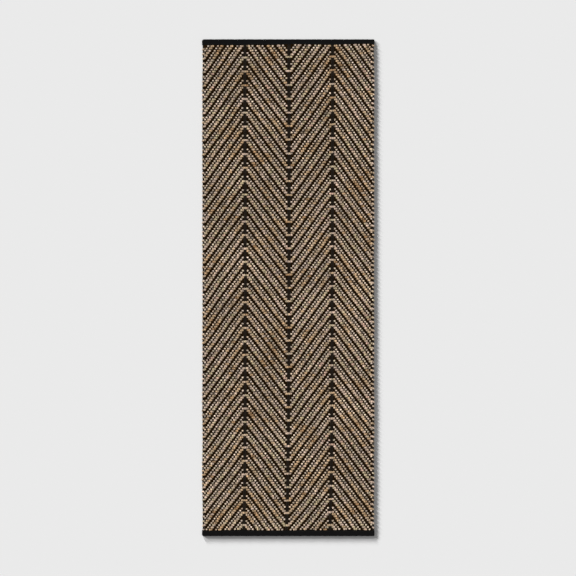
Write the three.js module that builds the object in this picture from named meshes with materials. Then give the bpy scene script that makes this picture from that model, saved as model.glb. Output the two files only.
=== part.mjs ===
// A runner rug: jute weft woven in a herringbone over black cotton warps, with a black cotton
// tape folded over each short end and sewn down.
//
// Millimetres. X runs across the rug, Y along it and Z up. The origin is under its middle.
// The yarns are laid out at their true count, gauge and route, in two flat layers: the warps
// below and the weft above. Each yarn is one ribbon that runs back and forth, as it was wound.

import * as THREE from 'three';

// Driving dimensions
const RUG_WIDTH = 741;
const RUG_LENGTH = 2134;
const GAP = 0.3;                       // kept between pieces that touch

const BINDING_DEPTH = 24;              // how far the tape covers the rug from each short end
const TAPE_THICKNESS = 1.6;            // two plies of cotton, with its raw edges turned in

const WARP_COUNT = 104;
const WARPS_PER_YARN = 4;              // one warp yarn goes up and down the loom four times
const WARP_WIDTH = 4.8;
const WARP_THICKNESS = 2.4;

const PICK_COUNT = 218;                // rows of weft
const WEFT_YARN_COUNT = 18;            // bobbins of jute, each woven in after the last
const WEFT_WIDTH = 7;
const WEFT_THICKNESS = 4.4;
const SELVEDGE = 3;                    // how far the weft's turns stand out past the warps

const STITCH_INSET = 5;                // from the tape's inner edge to its row of stitches
const THREAD_WIDTH = 0.8;
const THREAD_THICKNESS = 0.7;

// Layers, from the floor up
const WARP_BOTTOM = TAPE_THICKNESS + GAP;
const WEFT_BOTTOM = WARP_BOTTOM + WARP_THICKNESS + GAP;
const BINDING_SLOT = WARP_THICKNESS + 2 * GAP;
const BINDING_HEIGHT = BINDING_SLOT + 2 * TAPE_THICKNESS;

// Spacing
const WARP_PITCH = (RUG_WIDTH - 2 * SELVEDGE) / WARP_COUNT;
const FIELD_LENGTH = RUG_LENGTH - 2 * BINDING_DEPTH;
const PICK_PITCH = FIELD_LENGTH / PICK_COUNT;

const jute = new THREE.MeshStandardMaterial({ color: 0xb9a184, roughness: 0.92, metalness: 0 });
const blackCotton = new THREE.MeshStandardMaterial({ color: 0x1b1916, roughness: 0.95, metalness: 0 });
const blackTape = new THREE.MeshStandardMaterial({ color: 0x131314, roughness: 0.9, metalness: 0 });
const blackThread = new THREE.MeshStandardMaterial({ color: 0x222226, roughness: 0.6, metalness: 0 });

const rug = new THREE.Group();

function addPiece(parent, name, geometry, material) {
  const piece = new THREE.Mesh(geometry, material);
  piece.name = name;
  parent.add(piece);
  return piece;
}

function numbered(name, index) {
  return `${name}_${String(index + 1).padStart(2, '0')}`;
}

// Points along an arc, both ends included.
function arcPoints(centreX, centreY, radius, startAngle, endAngle, steps) {
  const points = [];
  for (let step = 0; step <= steps; step += 1) {
    const angle = startAngle + (endAngle - startAngle) * step / steps;
    points.push(new THREE.Vector2(
      centreX + radius * Math.cos(angle),
      centreY + radius * Math.sin(angle),
    ));
  }
  return points;
}

// One edge of a ribbon that runs back and forth along X. The first run is on the X axis, and
// each later run is one pitch further along +Y. The side is 1 for the left edge as the ribbon
// is followed, or -1 for the right.
function ribbonEdge(runs, halfRun, pitch, width, side) {
  const outerSteps = 4;
  const innerSteps = 2;
  const edge = [new THREE.Vector2(-halfRun, side * width / 2)];
  for (let turn = 0; turn < runs - 1; turn += 1) {
    const end = turn % 2 === 0 ? 1 : -1;
    const isOuter = side !== end;
    const radius = (pitch + (isOuter ? width : -width)) / 2;
    const startAngle = -Math.PI / 2;
    edge.push(...arcPoints(
      end * halfRun,
      (turn + 0.5) * pitch,
      radius,
      startAngle,
      startAngle + end * Math.PI,
      isOuter ? outerSteps : innerSteps,
    ));
  }
  const lastRun = runs - 1;
  const heading = lastRun % 2 === 0 ? 1 : -1;
  edge.push(new THREE.Vector2(heading * halfRun, lastRun * pitch + side * heading * width / 2));
  return edge;
}

// The whole ribbon, from Z = 0 up to its thickness. The reach is how far its turns go from the
// middle of a run, on either side.
function ribbonGeometry(runs, reach, pitch, width, thickness) {
  const halfRun = reach - (pitch + width) / 2;
  const leftEdge = ribbonEdge(runs, halfRun, pitch, width, 1);
  const rightEdge = ribbonEdge(runs, halfRun, pitch, width, -1);
  const outline = new THREE.Shape([...leftEdge, ...rightEdge.reverse()]);
  return new THREE.ExtrudeGeometry(outline, { depth: thickness, bevelEnabled: false });
}

// Jute weft: one yarn for each bobbin, turning back at the rug's two long edges. Each yarn makes
// whole round trips, so it starts and ends at the same edge.
function addWeft() {
  const roundTrips = PICK_COUNT / 2;
  for (let yarn = 0; yarn < WEFT_YARN_COUNT; yarn += 1) {
    const firstPick = 2 * Math.round(yarn * roundTrips / WEFT_YARN_COUNT);
    const nextFirstPick = 2 * Math.round((yarn + 1) * roundTrips / WEFT_YARN_COUNT);
    const geometry = ribbonGeometry(
      nextFirstPick - firstPick,
      RUG_WIDTH / 2,
      PICK_PITCH,
      WEFT_WIDTH,
      WEFT_THICKNESS,
    );
    const weft = addPiece(rug, numbered('jute_weft', yarn), geometry, jute);
    weft.position.set(0, (firstPick + 0.5) * PICK_PITCH - FIELD_LENGTH / 2, WEFT_BOTTOM);
  }
}

// Black cotton warp: each yarn turns back inside the folded tapes.
function addWarp() {
  const reach = RUG_LENGTH / 2 - BINDING_HEIGHT / 2 - GAP;
  const geometry = ribbonGeometry(
    WARPS_PER_YARN,
    reach,
    WARP_PITCH,
    WARP_WIDTH,
    WARP_THICKNESS,
  );
  for (let yarn = 0; yarn < WARP_COUNT / WARPS_PER_YARN; yarn += 1) {
    const firstWarp = yarn * WARPS_PER_YARN;
    const warp = addPiece(rug, numbered('cotton_warp', yarn), geometry, blackCotton);
    warp.rotation.z = -Math.PI / 2;
    warp.position.set((firstWarp + 0.5 - WARP_COUNT / 2) * WARP_PITCH, 0, WARP_BOTTOM);
  }
}

// Section of the folded tape. X goes from its inner edge out to the fold, and Y is up. A shallow
// channel in each leg is where the stitches bed down.
function bindingSection() {
  const foldCentre = BINDING_DEPTH - BINDING_HEIGHT / 2;
  const channelStart = STITCH_INSET - THREAD_WIDTH / 2 - GAP;
  const channelEnd = STITCH_INSET + THREAD_WIDTH / 2 + GAP;
  const channelDepth = THREAD_THICKNESS + GAP;
  const middle = BINDING_HEIGHT / 2;
  const foldSteps = 10;

  const lowerLeg = [
    new THREE.Vector2(0, 0),
    new THREE.Vector2(channelStart, 0),
    new THREE.Vector2(channelStart, channelDepth),
    new THREE.Vector2(channelEnd, channelDepth),
    new THREE.Vector2(channelEnd, 0),
  ];
  const upperLeg = lowerLeg.map((point) => new THREE.Vector2(point.x, BINDING_HEIGHT - point.y));
  const quarter = Math.PI / 2;
  return new THREE.Shape([
    ...lowerLeg,
    ...arcPoints(foldCentre, middle, BINDING_HEIGHT / 2, -quarter, quarter, foldSteps),
    ...upperLeg.reverse(),
    new THREE.Vector2(0, BINDING_HEIGHT - TAPE_THICKNESS),
    ...arcPoints(foldCentre, middle, BINDING_SLOT / 2, quarter, -quarter, foldSteps),
    new THREE.Vector2(0, TAPE_THICKNESS),
  ]);
}

// Folded tape and its lockstitch, whose needle thread lies on top and bobbin thread below.
function addBinding(endName, turn) {
  const end = new THREE.Group();
  end.rotation.z = turn;
  rug.add(end);

  const tape = new THREE.ExtrudeGeometry(bindingSection(), { depth: RUG_WIDTH, bevelEnabled: false });
  const along = new THREE.Vector3(0, 1, 0);
  const up = new THREE.Vector3(0, 0, 1);
  const across = new THREE.Vector3(1, 0, 0);
  tape.applyMatrix4(new THREE.Matrix4().makeBasis(along, up, across));
  tape.translate(-RUG_WIDTH / 2, FIELD_LENGTH / 2, 0);
  addPiece(end, `${endName}_binding`, tape, blackTape);

  const seamY = FIELD_LENGTH / 2 + STITCH_INSET;
  const threadLength = RUG_WIDTH - 2 * STITCH_INSET;
  const thread = new THREE.BoxGeometry(threadLength, THREAD_WIDTH, THREAD_THICKNESS);
  const needleThread = addPiece(end, `${endName}_needle_thread`, thread, blackThread);
  needleThread.position.set(0, seamY, BINDING_HEIGHT - THREAD_THICKNESS / 2);
  const bobbinThread = addPiece(end, `${endName}_bobbin_thread`, thread, blackThread);
  bobbinThread.position.set(0, seamY, THREAD_THICKNESS / 2);
}

addWeft();
addWarp();
addBinding('head', 0);
addBinding('foot', Math.PI);

export default rug;
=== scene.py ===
"""A runner rug, laid flat on a pale floor: jute weft woven in a herringbone over black cotton
warps, with a black cotton tape folded over each short end and sewn down.

Metres. X runs across the rug, Y along it and Z up. Rows of weft are counted from the foot of the
rug, at -Y, and warps from its left edge, at -X.
"""

import math

import bpy
import numpy as np
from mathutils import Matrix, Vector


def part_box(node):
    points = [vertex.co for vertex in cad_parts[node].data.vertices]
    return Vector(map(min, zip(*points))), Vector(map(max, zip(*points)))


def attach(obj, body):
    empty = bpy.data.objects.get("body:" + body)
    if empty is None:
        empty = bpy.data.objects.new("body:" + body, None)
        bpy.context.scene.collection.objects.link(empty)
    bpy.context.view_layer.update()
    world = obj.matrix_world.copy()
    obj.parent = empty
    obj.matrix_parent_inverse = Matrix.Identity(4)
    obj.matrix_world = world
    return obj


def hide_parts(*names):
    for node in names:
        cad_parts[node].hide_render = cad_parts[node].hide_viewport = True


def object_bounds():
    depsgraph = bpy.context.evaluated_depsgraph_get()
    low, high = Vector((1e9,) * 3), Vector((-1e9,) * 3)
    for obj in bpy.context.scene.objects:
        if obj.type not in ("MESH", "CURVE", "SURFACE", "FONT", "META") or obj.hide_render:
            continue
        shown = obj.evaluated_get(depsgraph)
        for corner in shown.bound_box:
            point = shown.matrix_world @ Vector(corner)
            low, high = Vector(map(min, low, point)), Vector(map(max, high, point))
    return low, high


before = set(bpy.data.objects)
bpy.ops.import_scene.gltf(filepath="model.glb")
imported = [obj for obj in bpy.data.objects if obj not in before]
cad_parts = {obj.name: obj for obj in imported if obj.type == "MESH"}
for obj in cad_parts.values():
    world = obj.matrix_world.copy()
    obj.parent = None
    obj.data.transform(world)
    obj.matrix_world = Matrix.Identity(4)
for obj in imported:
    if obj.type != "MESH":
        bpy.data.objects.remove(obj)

CAD_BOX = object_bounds()
MM = 0.001

# The cloth's count and gauge
ROWS = 218
WARPS = 104
ARMS = 4                               # stripes of the herringbone, slanting by turns
ARM_WARPS = WARPS // ARMS
ROWS_PER_REPEAT = 6
FIRST_LONG_FLOAT = 5                   # rows from the head tape to the first long float
WARPS_PER_YARN = 4
WEFT_STATIONS = 4                      # rings of a yarn for each crossing
WARP_STATIONS = 3

WIDTH = CAD_BOX[1].x - CAD_BOX[0].x
RUG_HEAD = CAD_BOX[1].y
RUG_FOOT = CAD_BOX[0].y
FIELD_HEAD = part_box("head_binding")[0].y
FIELD_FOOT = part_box("foot_binding")[1].y
FIELD_LENGTH = FIELD_HEAD - FIELD_FOOT
BINDING_DEPTH = RUG_HEAD - FIELD_HEAD
ROW_PITCH = FIELD_LENGTH / ROWS
SELVEDGE = 3 * MM                      # how far the weft's turns stand out past the warps
WARP_PITCH = (WIDTH - 2 * SELVEDGE) / WARPS
OUTER_WARP = (WARPS - 1) / 2 * WARP_PITCH   # from the rug's middle line to an outermost warp

# Jute yarn
WEFT_WIDTH = 8.1 * MM                  # where it shows on top
WEFT_DOT_WIDTH = 6.4 * MM              # where it shows over a single warp
WEFT_TUCKED_WIDTH = 5.4 * MM           # where it dives under a warp
WEFT_HEIGHT = 4.8 * MM
WEFT_RISE = 2.0 * MM                   # how far it weaves above and below the middle
WEFT_SIDES = 12
WEFT_PLY = 0.10                        # how much its two plies stand out
WEFT_TWIST = 17 * MM                   # length of yarn for one turn of the plies
WEFT_WOBBLE = (0.52 * MM, 0.40 * MM)   # how far it strays along the rug, quickly and slowly
WEFT_SWELLING = (0.09, 0.06)           # and how much its width varies
WEFT_THICKENING = 0.02                 # and its height

# The jute's turns at the long edges
WEFT_LOOP_WIDTH = 6.0 * MM
WEFT_LOOP_SLACK = (-0.8 * MM, 0.6 * MM)   # how far it stands out, at the tightest and the loosest
WEFT_LOOP_PUFF = 0.4                   # how far it is lifted there, as a share of WEFT_RISE
WEFT_LOOP_LEVELLING = 0.5              # how much of its rise and fall it has lost there
WEFT_LOOP_PAINTED_LIGHT = 0.3               # painted light: how much paler its upper end is, and darker its lower one
WEFT_TURN_PULL = 2.0 * MM              # how far the turn draws each of its two rows to the other
WEFT_TURN_REACH = 2 * WARP_PITCH       # and how far in from the outermost warp that goes
WEFT_TURN_ANGLE = 75                   # degrees from the middle of a turn to the straight row
WEFT_JOIN_ANGLE = 3                    # from there to the end of a yarn, where the next one starts
WEFT_TAIL_ANGLE = 45                   # and to the very first and last ends
WEFT_TURN_RINGS = 8
WEFT_HALF_TURN_RINGS = 5

# Cotton yarn
WARP_WIDTH = 7.4 * MM
WARP_TUCKED_WIDTH = 4.6 * MM
WARP_HEIGHT = 2.6 * MM
OUTER_WARP_WIDTH = 7.0 * MM            # the outermost warps keep this width all along
OUTER_WARP_SHIFT = 0.4 * MM            # and stand out this far from their place
WARP_RISE = 2.2 * MM
WARP_RIDGE = 0.4 * MM                  # how much a floating warp swells over each row
WARP_SIDES = 8
WARP_PLY = 0.08
WARP_TWIST = 26 * MM
WARP_WOBBLE = 0.15 * MM                # how far it strays across the rug
WARP_SWELLING = 0.04                   # and how much its width varies
HEM_INNER_INSET = 1.5 * MM             # where a warp is flat inside the tape: from its inner edge
HEM_OUTER_INSET = 9.5 * MM             # and from its fold

# Tape and stitches
CAD_GAP = 0.3 * MM                     # between pieces of the CAD that touch
TAPE_EDGE = 0.4 * MM                   # rounding of the tape's bare edge, outside
TAPE_LIP = 0.3 * MM                    # and inside the slot
TAPE_RINGS = 430                       # along it, between its corners
TAPE_CORNERS = {"head": (13 * MM, 5 * MM), "foot": (8 * MM, 5 * MM)}   # rounding, left and right
CORNER_DEPTH = 3 * MM                  # how far a sharp corner is cut back from the fold
TURNED_IN = 5 * MM                     # how much of each end is turned in
SLOT_CLOSING = 0.97                    # how nearly that closes the slot
PILLOW_ROUNDING = 0.75                 # and how far it rounds the end
TAPE_BULGE = 0.22 * MM                 # how far the upper leg rises over each warp
TAPE_RIPPLE = 0.2 * MM                 # and rises and falls without order
TAPE_EDGE_WAVE = 0.35 * MM             # how far its fold strays from a straight line
CHANNEL_WIDTH = 0.9 * MM               # the groove that the stitches pull into the tape
CHANNEL_DEPTH = 0.35 * MM
CHANNEL_DIMPLE = 0.2 * MM              # and how much deeper it is between them
STITCH_INSET = 5 * MM                  # from the tape's inner edge to the seam
STITCH_PITCH = 4 * MM
STITCH_LENGTH = 3.3 * MM
STITCH_DIP = 0.7 * MM                  # how far a stitch's ends go down into the tape
STITCH_LEAN = 0.12 * MM                # and how far they lie out of line with the seam
STITCH_SINK = 0.1 * MM                 # how far the needle thread is pulled into the tape
STITCH_TAPER = (0.15, 0.1)             # how much narrower and thinner a stitch's ends are
STITCH_SIDES = 6
STITCH_RINGS = 6

YARN_SPACING = 20.0                    # between the yarns in the Yarn map, so no two look alike
FLOOR_GAP = 0.05 * MM
WEAVE_MIDDLE = WEFT_RISE + WEFT_HEIGHT / 2 + FLOOR_GAP
HEM_MIDDLE = (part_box("cotton_warp_01")[0].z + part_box("cotton_warp_01")[1].z) / 2

# How the hand weaving strays from a true grid. A share is of the way down the field, from the
# head tape to the foot tape.
SLANT = 32 * MM                        # how far a row climbs from the left edge to the right
SLANT_SHARES = (                       # at a share of the way down, how much of that slant
    (0.0, 0.2), (0.03, 0.5), (0.15, 0.4), (0.43, 0.37), (0.52, 0.8), (0.66, 0.74), (0.8, 1.0),
    (1.0, 0.0),
)
BOW = 13.5 * MM                        # how far the middle rows have crept towards the foot
SWELL = 3.6 * MM                       # and crept again in two places along its length
SWELL_PLACE = 0.28                     # the share at the first of them
SWELL_SPACING = 0.62                   # and from one to the other
SAG = 7 * MM                           # how far the rows dip between the long edges
SAG_SHARES = ((0.42, 1.0), (0.58, 0.45), (0.85, 0.5), (0.95, 1.8))
SAG_LEVEL = 0.6                        # how far out a sagging row is level, of half the width
SAG_ROUNDING = 0.02                    # how round the bottom of the dip is
UNEVEN_BEAT = 1.6 * MM                 # rows packed closer in some places than in others
BEAT_SPACING = 0.17                    # the share from one such place to the next
BEAT_SKEW = 0.3                        # and how much they differ between the two edges
BEAT_SHIFTS = (                        # at a share of the way down, how far they are out of place
    (0.06, -1.9 * MM), (0.18, 2.6 * MM), (0.52, -1.9 * MM), (0.84, 4.3 * MM), (0.95, 1.8 * MM),
)
BEAT_SHIFT_REACH = 0.045               # the share over which each of those fades
STEADY_ENDS = 0.06                     # near the tapes, the share with less swell, sag and shift
HEAD_CREEP = 1.5 * MM                  # how far the first rows crowd onto the head tape
HEAD_CREEP_REACH = 0.05                # the share over which that fades
FOOT_CREEP = 1.8 * MM                  # how far the foot tape has pushed the last rows up
TAPE_WAVE = 0.8 * MM                   # and how unevenly both tapes lie against the rows
TAPE_WAVE_LENGTH = 120 * MM
TAPE_REACH = 0.01                      # the share over which those two fade
SQUEEZE = 3.5 * MM                     # how much closer the warps lie towards the long edges
SQUEEZE_AT_HEAD = 1.3                  # how much of that at the head
SQUEEZE_LOST = 0.8                     # and how much of it has gone at the foot
LEAN = 3.6 * MM                        # the warps' bend to the right
FOOT_LEAN = 11 * MM                    # and their swing to the left at the foot
FOOT_LEAN_POWER = 6                    # how late it sets in
WANDER = 0.8 * MM                      # slow waves in the rows and warps
WARP_WANDER_LENGTH = 250 * MM
ROW_WANDER_LENGTH = 200 * MM

# Smooth noise
WAVES_ADDED = 6
WAVELENGTH_RANGE = (0.7, 1.6)          # of the wavelength asked for


def waves(u, v, wavelength, seed):
    """Smooth noise, mostly from -1 to 1."""
    rng = np.random.default_rng(seed)
    total = 0
    for _ in range(WAVES_ADDED):
        heading = rng.uniform(0, 2 * math.pi)
        scale = 2 * math.pi / (wavelength * rng.uniform(*WAVELENGTH_RANGE))
        phase = rng.uniform(0, 2 * math.pi)
        total = total + np.sin(scale * (u * math.cos(heading) + v * math.sin(heading)) + phase)
    return total / (WAVES_ADDED / 2)


def strayed(points):
    """The points moved from the true grid to where the weaving really lies."""
    x, y = points[:, 0], points[:, 1]
    across = x / (WIDTH / 2)
    down = np.clip((FIELD_HEAD - y) / FIELD_LENGTH, 0, 1)
    hold = np.clip(np.minimum(RUG_HEAD - y, y - RUG_FOOT) / BINDING_DEPTH, 0, 1)
    free = np.clip(np.minimum(down, 1 - down) / STEADY_ENDS, 0, 1)
    slant = SLANT / 2 * across * np.interp(down, *zip(*SLANT_SHARES))
    bow = -BOW * np.sin(math.pi * down)
    swell = -free * SWELL * np.cos(2 * math.pi * (down - SWELL_PLACE) / SWELL_SPACING)
    dip = SAG_LEVEL - np.sqrt(across ** 2 + SAG_ROUNDING)
    sag = -free * SAG * np.interp(down, *zip(*SAG_SHARES)) * dip
    head_wave = TAPE_WAVE * waves(x, 0, TAPE_WAVE_LENGTH, 16)
    foot_wave = TAPE_WAVE * waves(x, 0, TAPE_WAVE_LENGTH, 17)
    creep = HEAD_CREEP * np.exp(-down / HEAD_CREEP_REACH) + head_wave * np.exp(-down / TAPE_REACH)
    creep = creep + (FOOT_CREEP + foot_wave) * np.exp(-(1 - down) / TAPE_REACH)
    beat = UNEVEN_BEAT * waves(down, BEAT_SKEW * across, BEAT_SPACING, 15)
    for place, shift in BEAT_SHIFTS:
        beat = beat + free * shift * np.exp(-((down - place) / BEAT_SHIFT_REACH) ** 2)
    wander_y = WANDER * waves(x, y, ROW_WANDER_LENGTH, 12)
    squeeze = SQUEEZE * np.sin(math.pi * across) * (SQUEEZE_AT_HEAD - SQUEEZE_LOST * down)
    lean = np.cos(math.pi / 2 * across) * (LEAN - FOOT_LEAN * down ** FOOT_LEAN_POWER)
    wander_x = WANDER * waves(x, y, WARP_WANDER_LENGTH, 11)
    moved = points.copy()
    moved[:, 0] += hold * (squeeze + lean + wander_x)
    moved[:, 1] += hold * (slant + bow + swell + sag + creep + beat + wander_y)
    return moved


def jute_on_top():
    """Which yarn shows at each crossing: True for jute, by row and warp."""
    row = np.arange(ROWS)[:, None]
    warp = np.arange(WARPS)[None, :]
    arm, place = warp // ARM_WARPS, warp % ARM_WARPS
    from_turn = np.where(arm % 2 == 0, ARM_WARPS - 1 - place, place)
    from_head = ROWS - 1 - row
    below_float = (from_head - FIRST_LONG_FLOAT) % ROWS_PER_REPEAT
    twill = np.array([True, True, False, True, False, False])
    on_top = twill[(from_turn - below_float) % ROWS_PER_REPEAT]

    # The two warps at each turn of the herringbone show jute only in the long float.
    at_turn = (place == 0) | (place == ARM_WARPS - 1)
    on_top = np.where(at_turn, below_float == 0, on_top)

    # At each long edge the weft goes over the outermost warp, round it, and back underneath in
    # the row below.
    on_top[:, 0] = np.arange(ROWS) % 2 == 0
    on_top[:, -1] = np.arange(ROWS) % 2 == 1
    return on_top


def eased(levels, stations):
    """A smooth curve through one level for each crossing, read at the yarn's stations."""
    place = (np.arange(len(levels) * stations) + 0.5) / stations - 0.5
    before = np.clip(np.floor(place).astype(int), 0, len(levels) - 1)
    after = np.minimum(before + 1, len(levels) - 1)
    share = 0.5 - 0.5 * np.cos(math.pi * np.clip(place - before, 0, 1))
    return levels[before] * (1 - share) + levels[after] * share


def unit(vectors):
    return vectors / np.linalg.norm(vectors, axis=1, keepdims=True)


class Tubes:
    """Closed oval tubes, gathered into one mesh. Each has two UV maps: Yarn holds the distance
    along it in metres and the share of the way round, and OFBake lays it out in level strips."""

    def __init__(self, sides, strips):
        self.sides = sides
        self.strips = strips
        self.points, self.loops, self.sizes = [], [], []
        self.yarn_uv, self.bake_uv, self.tints = [], [], []
        self.count = 0

    def add(self, centre, width, height, ply=0.0, twist=1.0, start=0.0, strip=None, tint=0.0):
        """A tube along centre. width, height and tint may vary along it. It is baked in the one
        strip given, or else in all of them, one after another."""
        steps = np.linalg.norm(np.diff(centre, axis=0), axis=1)
        along = np.concatenate([[0], np.cumsum(steps)])
        lobes = 1 + ply * np.cos(2 * (self.angles()[None, :] - 2 * math.pi * along[:, None] / twist))
        self.points.append(self.surface(centre, width, height, lobes))
        self.tints.append(np.repeat(np.broadcast_to(tint, len(centre)), self.sides))
        self.add_faces(along, start, strip)

    def angles(self):
        return -math.pi / 2 + 2 * math.pi * np.arange(self.sides) / self.sides

    def surface(self, centre, width, height, lobes):
        """An oval ring of points round each point of centre, swollen by its lobes."""
        tangent = unit(np.gradient(centre, axis=0))
        side = unit(np.cross([0.0, 0.0, 1.0], tangent))
        up = np.cross(tangent, side)
        across = (lobes * np.cos(self.angles()) * np.reshape(width, (-1, 1)) / 2)[:, :, None]
        above = (lobes * np.sin(self.angles()) * np.reshape(height, (-1, 1)) / 2)[:, :, None]
        ring_points = centre[:, None, :] + side[:, None, :] * across + up[:, None, :] * above
        return ring_points.reshape(-1, 3)

    def add_faces(self, along, start, strip):
        """Quads between the rings, a cap at each end, and both UV maps at their corners."""
        rings, sides = len(along), self.sides
        ring = np.arange(rings - 1)[:, None]
        place = np.arange(sides)[None, :]
        after = (place + 1) % sides
        corners = np.stack([
            ring * sides + place,
            ring * sides + after,
            (ring + 1) * sides + after,
            (ring + 1) * sides + place,
        ], axis=-1)
        first_cap = np.arange(sides)[::-1]
        last_cap = (rings - 1) * sides + np.arange(sides)
        self.loops.append(np.concatenate([corners.ravel(), first_cap, last_cap]) + self.count)
        self.sizes.append(np.concatenate([np.full((rings - 1) * sides, 4), [sides, sides]]))
        self.count += rings * sides

        cap_rings = [np.zeros(sides, int), np.full(sides, rings - 1)]
        corner_rings = np.broadcast_to(ring[:, :, None] + [0, 0, 1, 1], corners.shape).ravel()
        ring_of = np.concatenate([corner_rings, *cap_rings])
        face_rings = np.broadcast_to(ring[:, :, None], corners.shape).ravel()
        face_ring = np.concatenate([face_rings, *cap_rings])
        corner_places = np.broadcast_to(place[:, :, None] + [0, 1, 1, 0], corners.shape).ravel()
        round_share = np.concatenate([corner_places, first_cap, np.arange(sides)]) / sides
        self.yarn_uv.append(np.stack([start + along[ring_of], round_share], axis=1))

        margin = 0.02
        if strip is None:
            strip_length = along[-1] / self.strips
            strip_of = np.minimum(along[face_ring] // strip_length, self.strips - 1)
            share = (along[ring_of] - strip_of * strip_length) / strip_length
        else:
            strip_of = np.full(len(ring_of), strip)
            share = along[ring_of] / along[-1]
        self.bake_uv.append(np.stack([
            margin + (1 - 2 * margin) * share,
            (strip_of + margin + (1 - 2 * margin) * round_share) / self.strips,
        ], axis=1))

    def piece(self, name, material):
        """All the tubes as one object, with their tint, which sets painted light and shade, as an
        attribute of its points.
        """
        piece = mesh_piece(
            name,
            np.concatenate(self.points),
            np.concatenate(self.loops),
            np.concatenate(self.sizes),
            {"Yarn": np.concatenate(self.yarn_uv), "OFBake": np.concatenate(self.bake_uv)},
            material,
        )
        tint = piece.data.attributes.new("Tint", "FLOAT", "POINT")
        tint.data.foreach_set("value", np.concatenate(self.tints).astype(np.float32))
        return piece


def mesh_piece(name, points, loops, sizes, uv_maps, material):
    """A smooth object from its points, the corners of its faces, and each face's number of them."""
    mesh = bpy.data.meshes.new(name)
    mesh.vertices.add(len(points))
    mesh.vertices.foreach_set("co", np.asarray(points, np.float32).ravel())
    mesh.loops.add(len(loops))
    mesh.loops.foreach_set("vertex_index", np.asarray(loops, np.int32))
    mesh.polygons.add(len(sizes))
    starts = np.concatenate([[0], np.cumsum(sizes)[:-1]])
    mesh.polygons.foreach_set("loop_start", np.asarray(starts, np.int32))
    mesh.update(calc_edges=True)
    mesh.polygons.foreach_set("use_smooth", np.ones(len(sizes), bool))
    for map_name, values in uv_maps.items():
        layer = mesh.uv_layers.new(name=map_name)
        layer.uv.foreach_set("vector", np.asarray(values, np.float32).ravel())
    mesh.materials.append(material)
    piece = bpy.data.objects.new(name, mesh)
    bpy.data.collections["rug"].objects.link(piece)
    return piece


# Weft

def row_y(row):
    return FIELD_FOOT + (row + 0.5) * ROW_PITCH


def weft_loop(edge, row_gap, start, end, steps, level_from, level_to, slack):
    """Part of a turn round an outermost warp: x, y, level, width and tint. edge is -1 or 1, and
    row_gap the y between the two rows. start and end are angles, from -90 degrees at the lower
    row to 90 at the upper. slack is how far the turn stands out past its neighbours."""
    reach = WIDTH / 2 + slack - WEFT_LOOP_WIDTH / 2
    angle = np.radians(np.linspace(start, end, steps))
    share = (1 + np.sin(angle)) / 2
    level = level_from + (level_to - level_from) * share
    return np.stack([
        edge * (OUTER_WARP + (reach - OUTER_WARP) * np.cos(angle)),
        row_gap + (ROW_PITCH / 2 - WEFT_TURN_PULL) * np.sin(angle),
        level * (1 - WEFT_LOOP_LEVELLING * np.cos(angle)) + WEFT_LOOP_PUFF * np.cos(angle),
        np.full(steps, WEFT_LOOP_WIDTH),
        # Painted highlight on its upper end, painted shade on its lower one
        WEFT_LOOP_PAINTED_LIGHT * level,
    ], axis=1)


def weft_row(row, heading, on_top):
    """One row's stations, from outermost warp to outermost warp: x, y, level, width and tint. The
    tint is 1 on floats over a single warp, 0 on longer ones and -1 under a warp; in the jute's
    colour it paints a highlight on the single floats and shade where the yarn dives."""
    top = on_top[row]
    beside = np.pad(top, 1)
    single = top & ~beside[:-2] & ~beside[2:]
    half = WEFT_STATIONS // 2
    station = np.arange(half, WARPS * WEFT_STATIONS - half)
    x = ((station + 0.5) / WEFT_STATIONS - WARPS / 2) * WARP_PITCH
    level = eased(np.where(top, 1.0, -1.0), WEFT_STATIONS)[station]
    tint = eased(np.where(single, 1.0, np.where(top, 0.0, -1.0)), WEFT_STATIONS)[station]
    full_width = WEFT_WIDTH - (WEFT_WIDTH - WEFT_DOT_WIDTH) * np.clip(tint, 0, 1)
    fullness = np.sqrt(np.clip(level, 0, 1))
    width = WEFT_TUCKED_WIDTH + (full_width - WEFT_TUCKED_WIDTH) * fullness
    pull = WEFT_TURN_PULL * np.clip(1 - (OUTER_WARP - np.abs(x)) / WEFT_TURN_REACH, 0, 1) ** 2
    y = row_y(row) - np.where(np.where(x < 0, top[0], top[-1]), pull, -pull)
    row_path = np.stack([x, y, level, width, tint], axis=1)
    return row_path if heading > 0 else row_path[::-1]


def weft_path(number, first_row, next_first_row, on_top):
    """The stations of a yarn from the left edge back to the left edge, over its rows in turn."""
    turn = WEFT_TURN_ANGLE
    first_end = WEFT_JOIN_ANGLE if first_row > 0 else WEFT_TAIL_ANGLE
    last_end = -WEFT_JOIN_ANGLE if next_first_row < ROWS else -WEFT_TAIL_ANGLE
    outer = np.where(on_top, 1.0, -1.0)
    slack = np.random.default_rng(500 + number).uniform(*WEFT_LOOP_SLACK, ROWS)
    path = [weft_loop(
        -1, row_y(first_row - 0.5), first_end, turn, WEFT_HALF_TURN_RINGS,
        -outer[first_row, 0], outer[first_row, 0], slack[first_row],
    )]
    for row in range(first_row, next_first_row):
        heading = 1 if row % 2 == 0 else -1
        path.append(weft_row(row, heading, on_top))
        edge_warp = -1 if heading > 0 else 0
        level = outer[row, edge_warp]
        if row < next_first_row - 1:
            path.append(weft_loop(
                heading, row_y(row + 0.5), -turn, turn, WEFT_TURN_RINGS,
                level, outer[row + 1, edge_warp], slack[row],
            ))
        else:
            path.append(weft_loop(
                -1, row_y(row + 0.5), -turn, last_end, WEFT_HALF_TURN_RINGS,
                level, -level, slack[row],
            ))
    return np.concatenate(path)


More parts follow.
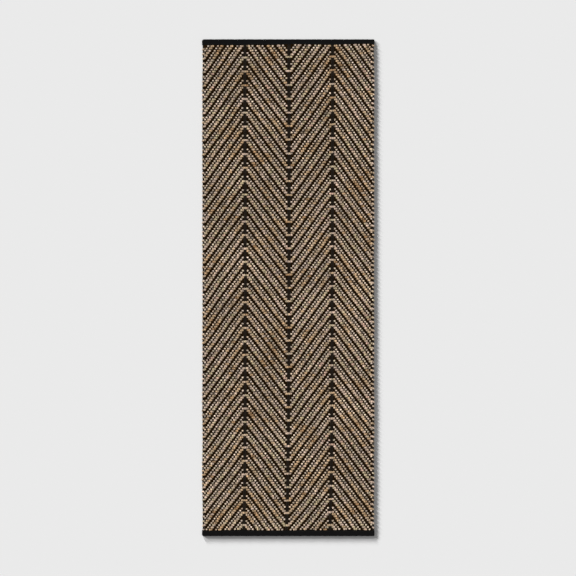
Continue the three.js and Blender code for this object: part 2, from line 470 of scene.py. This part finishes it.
def add_weft_yarn(name, number, first_row, next_first_row, on_top, material):
    """One bobbin of jute: an even number of rows, from the left edge back to the left edge."""
    x, y, level, width, tint = weft_path(number, first_row, next_first_row, on_top).T
    grain = np.arange(len(x)) * WARP_PITCH / WEFT_STATIONS
    rough = waves(grain, 0, 22 * MM, 100 + number)
    slow = waves(grain, 0, 150 * MM, 200 + number)
    knobs = waves(grain, 0, 16 * MM, 400 + number)
    centre = strayed(np.stack([x, y, WEAVE_MIDDLE + WEFT_RISE * level], axis=1))
    centre[:, 1] += WEFT_WOBBLE[0] * rough + WEFT_WOBBLE[1] * slow
    tubes = Tubes(WEFT_SIDES, strips=next_first_row - first_row)
    tubes.add(
        centre,
        width * (1 + WEFT_SWELLING[0] * knobs + WEFT_SWELLING[1] * slow),
        WEFT_HEIGHT * (1 + WEFT_THICKENING * slow),
        ply=WEFT_PLY,
        twist=WEFT_TWIST,
        start=number * YARN_SPACING,
        tint=tint,
    )
    return tubes.piece(name, material)


# Warp

def warp_run(warp, on_top):
    """One warp from the head tape to the foot tape: x, y, z, width and tint. The tint is 1 on a
    warp that lies among the jute, and 0 on one at a turn of the herringbone; it paints warm light
    bounced off the jute on the cotton."""
    level = eased(np.where(on_top[::-1, warp], -1.0, 1.0), WARP_STATIONS)
    row = (np.arange(ROWS * WARP_STATIONS) + 0.5) / WARP_STATIONS
    y = FIELD_HEAD - row * ROW_PITCH
    floating = np.clip(level, 0, 1)
    ridges = -WARP_RIDGE * np.cos(2 * math.pi * row)
    z = WEAVE_MIDDLE + WARP_RISE * level + ridges * floating
    width = WARP_TUCKED_WIDTH + (WARP_WIDTH - WARP_TUCKED_WIDTH) * floating

    hem = np.linspace(HEM_INNER_INSET, BINDING_DEPTH - HEM_OUTER_INSET, 4)
    y = np.concatenate([(FIELD_HEAD + hem)[::-1], y, FIELD_FOOT - hem])
    z = np.pad(z, len(hem), constant_values=HEM_MIDDLE)
    width = np.pad(width, len(hem), constant_values=WARP_TUCKED_WIDTH)
    x = np.full(len(y), (warp + 0.5 - WARPS / 2) * WARP_PITCH)
    if warp in (0, WARPS - 1):
        x *= 1 + OUTER_WARP_SHIFT / (WIDTH / 2)
        width[:] = OUTER_WARP_WIDTH
    at_turn = warp % ARM_WARPS in (0, ARM_WARPS - 1)
    return np.stack([x, y, z, width, np.full(len(y), 0.0 if at_turn else 1.0)], axis=1)


def warp_turn(warp, end_y, outward):
    """The turn from one warp to the next, inside a folded tape."""
    radius = WARP_PITCH / 2
    angle = np.radians(np.linspace(-75, 75, 6))
    return np.stack([
        (warp + 1 - WARPS / 2) * WARP_PITCH + radius * np.sin(angle),
        end_y + outward * radius * np.cos(angle),
        np.full(len(angle), HEM_MIDDLE),
        np.full(len(angle), WARP_TUCKED_WIDTH),
        np.zeros(len(angle)),
    ], axis=1)


def add_warp_yarn(name, number, on_top, material):
    """One cotton cord that makes four warps, turning back inside the tapes."""
    path = []
    for run in range(WARPS_PER_YARN):
        warp = number * WARPS_PER_YARN + run
        points = warp_run(warp, on_top)
        towards_foot = run % 2 == 0
        points = points if towards_foot else points[::-1]
        path.append(points)
        if run < WARPS_PER_YARN - 1:
            path.append(warp_turn(warp, points[-1, 1], -1 if towards_foot else 1))
    x, y, z, width, tint = np.concatenate(path).T
    grain = np.arange(len(x)) * ROW_PITCH / WARP_STATIONS
    rough = waves(grain, x, 20 * MM, 300 + number)
    centre = strayed(np.stack([x, y, z], axis=1))
    centre[:, 0] += WARP_WOBBLE * rough
    tubes = Tubes(WARP_SIDES, strips=4 * WARPS_PER_YARN)
    tubes.add(
        centre,
        width * (1 + WARP_SWELLING * rough),
        WARP_HEIGHT,
        ply=WARP_PLY,
        twist=WARP_TWIST,
        start=number * YARN_SPACING,
        tint=tint,
    )
    return tubes.piece(name, material)


# End bindings

def section_part(out, up, ripple, wall):
    """Points of the tape's section: how far out from its inner edge, how high, how much each may
    ripple, and 1 on the walls of the slot."""
    return np.stack(np.broadcast_arrays(out, up, ripple, wall), axis=1)


def tape_section():
    """The folded section, all the way round: under it, up round the fold, back over the top, and
    through the slot. The stitches' channel is pressed in later."""
    low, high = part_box("head_binding")
    height = high.z - low.z
    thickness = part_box("cotton_warp_01")[0].z - CAD_GAP
    fold = BINDING_DEPTH - height / 2
    slot_radius = height / 2 - thickness
    leg = np.linspace(TAPE_EDGE, fold, 16)
    slot_leg = np.linspace(fold, TAPE_EDGE, 5)
    arc = np.radians(np.linspace(-80, 80, 11))
    slot_arc = arc[::2][::-1]
    return np.concatenate([
        section_part(leg, 0, 0, 0),
        section_part(
            fold + height / 2 * np.cos(arc), height / 2 * (1 + np.sin(arc)),
            0.5 + 0.5 * np.sin(arc), 0,
        ),
        section_part(leg[::-1], height, 1, 0),
        [[0, height - TAPE_EDGE, 1, 0], [0, height - thickness + TAPE_LIP, 0.5, 1]],
        section_part(slot_leg[::-1], height - thickness, 0, 1),
        section_part(
            fold + slot_radius * np.cos(slot_arc), height / 2 + slot_radius * np.sin(slot_arc), 0, 1,
        ),
        section_part(slot_leg, thickness, 0, 1),
        [[0, thickness - TAPE_LIP, 0, 1], [0, TAPE_EDGE, 0, 0]],
    ])


def tape_stations(left_corner, right_corner):
    """Where the tape's rings are along X, closer together round its corners."""
    share = 1 - np.cos(np.radians(np.arange(0, 90, 15)))
    middle = np.linspace(-WIDTH / 2 + left_corner, WIDTH / 2 - right_corner, TAPE_RINGS)
    return np.concatenate([
        -WIDTH / 2 + left_corner * share, middle, (WIDTH / 2 - right_corner * share)[::-1],
    ])


def tape_heights(xs, inset, up, out, ripple, slot_wall):
    """How high each point of the tape is. Its two ends are turned in, which closes the slot and
    rounds them like a pillow's. The warps bulge its upper side, and the stitches dimple it."""
    turned_in = np.clip(1 - inset / TURNED_IN, 0, 1)
    closed = np.clip(3 * turned_in - 1, 0, SLOT_CLOSING) * slot_wall
    pillow = np.sqrt(1 - PILLOW_ROUNDING * turned_in ** 4)
    half_height = up.max() / 2
    height = half_height + (up - half_height) * (1 - closed) * pillow

    bulge = TAPE_BULGE * np.cos(2 * math.pi * xs / WARP_PITCH)
    bulge = bulge + TAPE_RIPPLE * waves(xs, 0, 30 * MM, 41)
    channel = np.exp(-((out - STITCH_INSET) / CHANNEL_WIDTH) ** 2)
    dimple = CHANNEL_DEPTH + CHANNEL_DIMPLE * np.cos(2 * math.pi * xs / STITCH_PITCH)
    height = height + ripple * (bulge[:, None] - dimple[:, None] * channel)
    underside = up < 0.1 * MM
    return height + underside * channel * dimple[:, None]


def tape_points(end, xs, left_corner, right_corner):
    """The tape's rings, one at each of xs. Each corner is how much of the tape's length the
    rounding of that outer corner takes."""
    out, up, ripple, slot_wall = tape_section().T
    inset = (WIDTH / 2 - np.abs(xs))[:, None]
    corner = np.where(xs < 0, left_corner, right_corner)[:, None]
    corner_depth = CORNER_DEPTH + corner / 3
    past_corner = np.clip(1 - inset / corner, 0, 0.999)
    shrink = 1 - corner_depth * (1 - np.sqrt(1 - past_corner ** 2)) / BINDING_DEPTH
    edge_wave = TAPE_EDGE_WAVE * waves(xs, 0, 18 * MM, 42 + end)[:, None]
    reach = out * shrink + edge_wave * (out / BINDING_DEPTH)
    field_edge = FIELD_HEAD if end > 0 else FIELD_FOOT
    points = np.stack([
        np.broadcast_to(xs[:, None], reach.shape),
        field_edge + end * reach,
        tape_heights(xs, inset, up, out, ripple, slot_wall),
    ], axis=-1)
    return strayed(points.reshape(-1, 3))


def tape_faces(end, count, around):
    """The corners of the tape's faces, how many each has, and which place round the section each
    corner is at, from 0 to around. Faces look outwards at both ends of the rug."""
    ring = np.arange(count - 1)[:, None]
    place = np.arange(around)[None, :]
    after = (place + 1) % around
    corners = np.stack([
        ring * around + place,
        (ring + 1) * around + place,
        (ring + 1) * around + after,
        ring * around + after,
    ], axis=-1)
    places = np.broadcast_to(place[:, :, None] + [0, 0, 1, 1], corners.shape)
    first_cap = np.arange(around)
    last_cap = (count - 1) * around + np.arange(around)
    if end > 0:
        corners, places = corners[:, :, ::-1], places[:, :, ::-1]
        caps = [first_cap, last_cap[::-1]]
    else:
        caps = [first_cap[::-1], last_cap]
    loops = np.concatenate([corners.ravel(), *caps])
    sizes = np.concatenate([np.full((count - 1) * around, 4), [around, around]])
    wraps = np.concatenate([places.ravel(), *(cap % around for cap in caps)])
    return loops, sizes, wraps


def add_tape(name, end, left_corner, right_corner, material):
    """One folded tape. end is 1 at the head and -1 at the foot."""
    out, up = tape_section().T[:2]
    xs = tape_stations(left_corner, right_corner)
    points = tape_points(end, xs, left_corner, right_corner)
    loops, sizes, wraps = tape_faces(end, len(xs), len(out))

    steps = np.hypot(np.diff(out, append=out[0]), np.diff(up, append=up[0]))
    round_length = np.concatenate([[0], np.cumsum(steps)])
    across = points[loops, 0]
    margin = 0.01
    cloth = np.stack([across, round_length[wraps]], axis=1)
    bake = np.stack([
        margin + (1 - 2 * margin) * (across / WIDTH + 0.5),
        margin + (1 - 2 * margin) * round_length[wraps] / round_length[-1],
    ], axis=1)
    return mesh_piece(name, points, loops, sizes, {"Yarn": cloth, "OFBake": bake}, material)


def add_stitches(name, end, node, top, material):
    """A row of short stitches that dip into the tape at both ends."""
    low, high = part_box(node)
    width, thickness = high.y - low.y, high.z - low.z
    seam_y = (low.y + high.y) / 2
    middle_z = (low.z + high.z) / 2
    share = np.linspace(-1, 1, STITCH_RINGS)
    dip = STITCH_DIP * share ** 4
    z = middle_z - dip - STITCH_SINK if top else middle_z + dip
    starts = np.arange(low.x + STITCH_LENGTH, high.x - STITCH_LENGTH, STITCH_PITCH)
    tubes = Tubes(STITCH_SIDES, strips=len(starts))
    for number, x in enumerate(starts):
        y = seam_y + end * STITCH_LEAN * share
        tubes.add(
            strayed(np.stack([x + share * STITCH_LENGTH / 2, y, z], axis=1)),
            width * (1 - STITCH_TAPER[0] * share ** 2),
            thickness * (1 - STITCH_TAPER[1] * share ** 2),
            start=x,
            strip=number,
        )
    return tubes.piece(name, material)


# Materials

def add_node(tree, kind, inputs=None, **settings):
    """A shader node. Each input is a value, or the socket that feeds it."""
    made = tree.nodes.new(kind)
    for key, value in settings.items():
        setattr(made, key, value)
    for key, value in (inputs or {}).items():
        if isinstance(value, bpy.types.NodeSocket):
            tree.links.new(value, made.inputs[key])
        else:
            made.inputs[key].default_value = value
    return made


def maths(tree, operation, first, second=0.0, third=0.0):
    made = add_node(tree, "ShaderNodeMath", {0: first, 1: second, 2: third}, operation=operation)
    return made.outputs[0]


def noise(tree, vector, scale, detail=2.0, roughness=0.5):
    made = add_node(tree, "ShaderNodeTexNoise", {
        "Vector": vector, "Scale": scale, "Detail": detail, "Roughness": roughness,
    })
    return made.outputs["Fac"]


def ramp(tree, factor, stops):
    """Colours by factor. stops are (position, (red, green, blue))."""
    made = add_node(tree, "ShaderNodeValToRGB", {"Fac": factor})
    band = made.color_ramp
    while len(band.elements) < len(stops):
        band.elements.new(0.5)
    for element, (position, colour) in zip(band.elements, stops):
        element.position = position
        element.color = (*colour, 1.0)
    return made.outputs["Color"]


def times(tree, colour, factor):
    """The colour made lighter or darker by a factor."""
    made = add_node(tree, "ShaderNodeVectorMath", {0: colour, "Scale": factor}, operation="SCALE")
    return made.outputs[0]


def blend(tree, factor, first, second):
    """From the first colour to the second, a plain one, as the factor goes from 0 to 1."""
    made = add_node(tree, "ShaderNodeMix", data_type="RGBA", clamp_factor=True)
    tree.links.new(factor, made.inputs["Factor"])
    tree.links.new(first, made.inputs["A"])
    made.inputs["B"].default_value = (*second, 1.0)
    return made.outputs["Result"]


def remap(tree, value, low, high):
    """A value from 0 to 1, stretched to run from low to high."""
    return maths(tree, "MULTIPLY_ADD", value, high - low, low)


def new_material(name, colour, gloss=0.5):
    """A material, its node tree and its shader."""
    material = bpy.data.materials.new(name)
    material.use_nodes = True
    tree = material.node_tree
    shader = tree.nodes["Principled BSDF"]
    shader.inputs["Base Color"].default_value = (*colour, 1.0)
    shader.inputs["Specular IOR Level"].default_value = gloss
    return material, tree, shader


def yarn_space(tree, twist, along_scale):
    """Where a point is on its yarn: the distance along it, its angle with the twist taken out, and
    a vector for noise whose grain runs along the twisted fibres."""
    place = add_node(tree, "ShaderNodeUVMap", uv_map="Yarn")
    parts = add_node(tree, "ShaderNodeSeparateXYZ", {0: place.outputs[0]})
    along = parts.outputs[0]
    turns = maths(tree, "SUBTRACT", parts.outputs[1], maths(tree, "DIVIDE", along, twist))
    angle = maths(tree, "MULTIPLY", turns, 2 * math.pi)
    grain = add_node(tree, "ShaderNodeCombineXYZ", {
        0: maths(tree, "MULTIPLY", along, along_scale),
        1: maths(tree, "COSINE", angle),
        2: maths(tree, "SINE", angle),
    })
    return along, angle, grain.outputs[0]


def jute_material():
    straw = (0.56, 0.44, 0.30)
    material, tree, shader = new_material("jute", straw, gloss=0.08)
    shader.inputs["Diffuse Roughness"].default_value = 1.0
    along, angle, grain = yarn_space(tree, WEFT_TWIST, 16)
    length_only = add_node(tree, "ShaderNodeCombineXYZ", {0: along}).outputs[0]

    # Changes of tone: from one bundle of plants to the next, along the yarn and over the rug
    spot = add_node(tree, "ShaderNodeTexCoord").outputs["Object"]
    tone = noise(tree, length_only, 11.0, detail=2.0, roughness=0.6)
    batch = remap(tree, noise(tree, spot, 8.0), -0.32, 0.32)
    colour = ramp(tree, maths(tree, "ADD", tone, batch), [
        (0.30, (0.35, 0.21, 0.105)),
        (0.39, (0.49, 0.34, 0.20)),
        (0.45, (0.47, 0.35, 0.225)),
        (0.53, (0.53, 0.41, 0.33)),
        (0.60, (0.45, 0.375, 0.23)),
        (0.68, (0.53, 0.365, 0.28)),
    ])

    # Painted highlight where it shows over a single warp, and painted shade, dark and brown,
    # where it dives
    tint = add_node(tree, "ShaderNodeAttribute", attribute_name="Tint").outputs["Fac"]
    with_painted_highlight = blend(tree, maths(tree, "MULTIPLY", tint, 0.4), colour, (0.74, 0.68, 0.61))
    painted_dive_shade = maths(tree, "MULTIPLY", tint, -0.95)
    colour = blend(tree, painted_dive_shade, with_painted_highlight, (0.052, 0.021, 0.004))

    # Quick changes along the yarn, and slow ones over the rug
    quick = noise(tree, length_only, 110.0, detail=2.0, roughness=0.6)
    unevenness = maths(tree, "MAXIMUM", remap(tree, quick, -1.0, 3.0), 0.3)
    wear = remap(tree, noise(tree, spot, 5.0), 0.68, 1.32)
    colour = times(tree, colour, maths(tree, "MULTIPLY", unevenness, wear))

    # Fibres, painted shade in the groove between the two plies, and flecks of bark
    fibres = noise(tree, grain, 11.0, detail=5.0, roughness=0.8)
    plies = maths(tree, "COSINE", maths(tree, "MULTIPLY", angle, 2.0))
    groove = maths(tree, "SMOOTH_MIN", maths(tree, "ADD", plies, 1.0), 0.6, 0.4)
    # Painted shade: darker in the groove between the plies
    shade = maths(
        tree, "MULTIPLY", remap(tree, fibres, 0.2, 1.85), remap(tree, groove, 0.52, 1.5),
    )
    colour = times(tree, colour, shade)
    flecks = noise(tree, grain, 3.0, detail=5.0, roughness=0.8)
    fleck_mask = add_node(tree, "ShaderNodeMapRange", {
        "Value": flecks, "From Min": 0.62, "From Max": 0.72, "To Min": 0.0, "To Max": 0.6,
    }).outputs["Result"]
    colour = blend(tree, fleck_mask, colour, (0.11, 0.07, 0.04))
    tree.links.new(colour, shader.inputs["Base Color"])

    tree.links.new(remap(tree, fibres, 0.98, 0.78), shader.inputs["Roughness"])
    relief = maths(tree, "MULTIPLY_ADD", groove, 1.2, fibres)
    bump = add_node(tree, "ShaderNodeBump", {
        "Height": relief, "Distance": 0.8 * MM, "Strength": 0.9,
    })
    tree.links.new(bump.outputs[0], shader.inputs["Normal"])
    return material


def cotton_material():
    black = (0.016, 0.0145, 0.0135)
    material, tree, shader = new_material("black_cotton", black, gloss=0.0)
    shader.inputs["Roughness"].default_value = 0.92
    along, angle, grain = yarn_space(tree, WARP_TWIST, 25)
    length_only = add_node(tree, "ShaderNodeCombineXYZ", {0: along}).outputs[0]
    fibres = noise(tree, grain, 6.0, detail=3.0, roughness=0.7)
    fuzz = noise(tree, grain, 2.0, detail=5.0, roughness=0.75)
    colour = ramp(tree, fuzz, [
        (0.35, (0.0120, 0.0092, 0.0072)),
        (0.55, (0.0160, 0.0120, 0.0088)),
        (0.72, (0.030, 0.023, 0.017)),
    ])
    tone = noise(tree, length_only, 45.0, detail=3.0)
    shade = maths(tree, "MULTIPLY", remap(tree, fibres, 0.7, 1.3), remap(tree, tone, 0.2, 1.8))

    # Browner among the jute: painted warm light, bounced off the jute
    among_jute = add_node(tree, "ShaderNodeAttribute", attribute_name="Tint").outputs["Fac"]
    painted_bounce = maths(tree, "MULTIPLY", among_jute, 0.9)
    colour = times(tree, blend(tree, painted_bounce, colour, (0.0130, 0.0058, 0.0010)), shade)

    # Strands, wound round the cord: painted light on each strand and painted shade between them
    strands = maths(tree, "COSINE", maths(tree, "MULTIPLY", angle, 3.0))
    colour = times(tree, colour, maths(tree, "MULTIPLY_ADD", strands, 0.3, 1.0))
    tree.links.new(colour, shader.inputs["Base Color"])
    return material


def tape_material():
    black = (0.008, 0.0078, 0.0080)
    material, tree, shader = new_material("black_tape", black, gloss=0.08)
    place = add_node(tree, "ShaderNodeUVMap", uv_map="Yarn")
    parts = add_node(tree, "ShaderNodeSeparateXYZ", {0: place.outputs[0]})
    across, along = parts.outputs[0], parts.outputs[1]

    # Fine diagonal ribs of a twill tape
    rib_pitch, thread_pitch = 1.1 * MM, 0.7 * MM
    rib_slope = 0.8
    slope = maths(tree, "ADD", across, maths(tree, "MULTIPLY", along, rib_slope))
    ribs = maths(tree, "SINE", maths(tree, "MULTIPLY", slope, 2 * math.pi / rib_pitch))
    threads = maths(tree, "SINE", maths(tree, "MULTIPLY", along, 2 * math.pi / thread_pitch))
    lint = noise(tree, place.outputs[0], 900.0, detail=4.0, roughness=0.7)
    patches = noise(tree, place.outputs[0], 40.0, detail=3.0)
    # Painted light along the crests of the ribs
    shade = maths(tree, "MULTIPLY", remap(tree, ribs, 1.0, 1.18), remap(tree, patches, 0.7, 1.3))
    colour = ramp(tree, lint, [
        (0.35, (0.0031, 0.0030, 0.0030)),
        (0.60, (0.0046, 0.0045, 0.0047)),
        (0.78, (0.011, 0.011, 0.012)),
    ])
    tree.links.new(times(tree, colour, shade), shader.inputs["Base Color"])
    tree.links.new(remap(tree, lint, 0.98, 0.8), shader.inputs["Roughness"])
    relief = maths(tree, "ADD", ribs, maths(tree, "MULTIPLY", threads, 0.4))
    relief = maths(tree, "ADD", relief, lint)
    bump = add_node(tree, "ShaderNodeBump", {
        "Height": relief, "Distance": 0.1 * MM, "Strength": 0.6,
    })
    tree.links.new(bump.outputs[0], shader.inputs["Normal"])
    return material


def thread_material():
    black = (0.014, 0.014, 0.015)
    material, tree, shader = new_material("black_thread", black, gloss=0.25)
    thread_twist = 1.2 * MM
    _, angle, grain = yarn_space(tree, thread_twist, 900)
    fibres = noise(tree, grain, 4.0, detail=3.0)
    # Painted light on the plies and painted shade between them
    plies = maths(tree, "COSINE", maths(tree, "MULTIPLY", angle, 3.0))
    shade = maths(tree, "ADD", fibres, maths(tree, "MULTIPLY", plies, 0.15))
    colour = ramp(tree, shade, [(0.3, (0.009, 0.009, 0.010)), (0.8, (0.026, 0.026, 0.028))])
    tree.links.new(colour, shader.inputs["Base Color"])
    tree.links.new(remap(tree, fibres, 0.7, 0.5), shader.inputs["Roughness"])
    bump = add_node(tree, "ShaderNodeBump", {
        "Height": plies, "Distance": 0.05 * MM, "Strength": 0.6,
    })
    tree.links.new(bump.outputs[0], shader.inputs["Normal"])
    return material


def floor_material():
    pale = (0.80, 0.80, 0.80)
    material, _, shader = new_material("pale_floor", pale, gloss=0.0)
    shader.inputs["Roughness"].default_value = 0.9
    return material


# Putting the rug together

def numbered(name, number):
    return f"{name}_{number + 1:02d}"


def declare(piece, nodes):
    """Hide the parts of the CAD that a piece stands for, and attach the piece to the root body."""
    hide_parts(*nodes)
    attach(piece, "root")


def add_weave():
    on_top = jute_on_top()
    jute, cotton = jute_material(), cotton_material()
    weft_yarns = sum(name.startswith("jute_weft_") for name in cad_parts)
    round_trips = ROWS // 2
    for number in range(weft_yarns):
        first_row = 2 * round(number * round_trips / weft_yarns)
        next_first_row = 2 * round((number + 1) * round_trips / weft_yarns)
        piece = add_weft_yarn(
            numbered("weft_yarn", number), number, first_row, next_first_row, on_top, jute,
        )
        declare(piece, [numbered("jute_weft", number)])
    for number in range(WARPS // WARPS_PER_YARN):
        piece = add_warp_yarn(numbered("warp_yarn", number), number, on_top, cotton)
        declare(piece, [numbered("cotton_warp", number)])


def add_bindings():
    tape, thread = tape_material(), thread_material()
    for end_name, end in (("head", 1), ("foot", -1)):
        piece = add_tape(f"{end_name}_tape", end, *TAPE_CORNERS[end_name], tape)
        declare(
            piece, [f"{end_name}_binding"],
        )
        for thread_name, top in (("needle_thread", True), ("bobbin_thread", False)):
            cad_node = f"{end_name}_{thread_name}"
            stitches = add_stitches(f"{end_name}_{thread_name}_stitches", end, cad_node, top, thread)
            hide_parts(cad_node)
            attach(stitches, "root")


# Stage, light and camera

def add_collection(name):
    collection = bpy.data.collections.new(name)
    bpy.context.scene.collection.children.link(collection)
    return collection


def add_floor(collection):
    """A pale floor for the rug to lie on."""
    mesh = bpy.data.meshes.new("floor")
    half = 45.0                        # metres, so that the low views don't see its edges
    corners = [(-half, -half, 0), (half, -half, 0), (half, half, 0), (-half, half, 0)]
    mesh.from_pydata(corners, [], [(0, 1, 2, 3)])
    mesh.materials.append(floor_material())
    floor = bpy.data.objects.new("floor", mesh)
    collection.objects.link(floor)


def add_sun(name, strength, elevation, azimuth, spread, lit):
    """A broad soft light on one collection. azimuth is its direction from the rug, in degrees
    from +Y to -X."""
    light = bpy.data.lights.new(name, "SUN")
    light.energy = strength
    light.angle = math.radians(spread)
    lamp = bpy.data.objects.new(name, light)
    lamp.rotation_euler = (math.radians(90 - elevation), 0, math.radians(180 + azimuth))
    lamp.light_linking.receiver_collection = lit
    bpy.context.scene.collection.objects.link(lamp)


def add_lights(rug, stage):
    """A high softbox for the rug, two low ones that give the floor the rug's shadow, and a fill
    that looks paler where the camera sees it past the floor."""
    add_sun("softbox", strength=3.15, elevation=62, azimuth=45, spread=60, lit=rug)
    add_sun("low_softbox_left", strength=5.52, elevation=12.5, azimuth=54, spread=9, lit=stage)
    add_sun("low_softbox_top", strength=7.05, elevation=9.8, azimuth=26, spread=7, lit=stage)
    world = bpy.data.worlds.new("studio")
    bpy.context.scene.world = world
    world.use_nodes = True
    tree = world.node_tree
    background = tree.nodes["Background"]
    path = add_node(tree, "ShaderNodeLightPath")
    backdrop, fill = 0.82, 0.267
    background.inputs["Color"].default_value = (1, 1, 1, 1)
    strength = remap(tree, path.outputs["Is Camera Ray"], fill, backdrop)
    tree.links.new(strength, background.inputs["Strength"])


def add_camera():
    """Straight down on the rug from far off, with the head of the rug at the top."""
    seen = 2.475                       # metres across the picture, at the rug
    framing = (-0.8 * MM, -1.3 * MM)
    data = bpy.data.cameras.new("camera")
    data.lens = 200
    data.clip_end = 100
    camera = bpy.data.objects.new("camera", data)
    camera.location = (*framing, seen * data.lens / data.sensor_width)
    bpy.context.scene.collection.objects.link(camera)
    bpy.context.scene.camera = camera


rug_pieces = add_collection("rug")
stage_pieces = add_collection("stage")
add_camera()
add_weave()
add_bindings()
add_floor(stage_pieces)
add_lights(rug_pieces, stage_pieces)
bpy.context.scene.view_settings.view_transform = "Standard"
